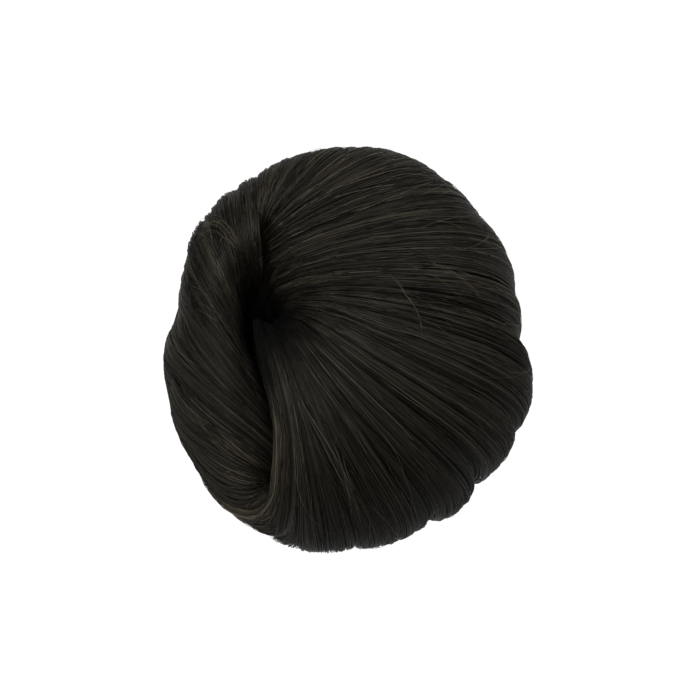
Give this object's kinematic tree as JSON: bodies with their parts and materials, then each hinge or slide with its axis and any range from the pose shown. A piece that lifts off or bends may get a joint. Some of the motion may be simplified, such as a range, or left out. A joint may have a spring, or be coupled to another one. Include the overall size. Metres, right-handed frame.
{
  "type": "bun hairpiece",
  "caption": "Round bun of straight dark false hair, in locks that swirl out of an off-centre dip and turn under to an elastic band, hollow behind to sit over gathered hair.",
  "frame": {"origin": "on the surface that the bun lies on, under the middle of its box", "axes": "+Z out of the head, the way that the swirl faces; +Y up the longer side, to the end where the roll passes over the start of the fan; +X to the right, seen from the front"},
  "size_m": [0.1096, 0.124, 0.0675],
  "materials": {
    "hair": "soft gloss",
    "elastic": "matt, woven"
  },
  "bodies": {
    "root": {"base_band": "elastic", "fan_lock_01": "hair", "fan_lock_02": "hair", "fan_lock_03": "hair", "fan_lock_04": "hair", "fan_lock_05": "hair", "fan_lock_06": "hair", "fan_lock_07": "hair", "fan_lock_08": "hair", "fan_lock_09": "hair", "fan_lock_10": "hair", "tucked_lock_01": "hair", "tucked_lock_02": "hair", "tucked_lock_03": "hair", "roll_lock_01": "hair", "roll_lock_02": "hair", "roll_lock_03": "hair", "roll_lock_04": "hair"}
  },
  "joints": []
}
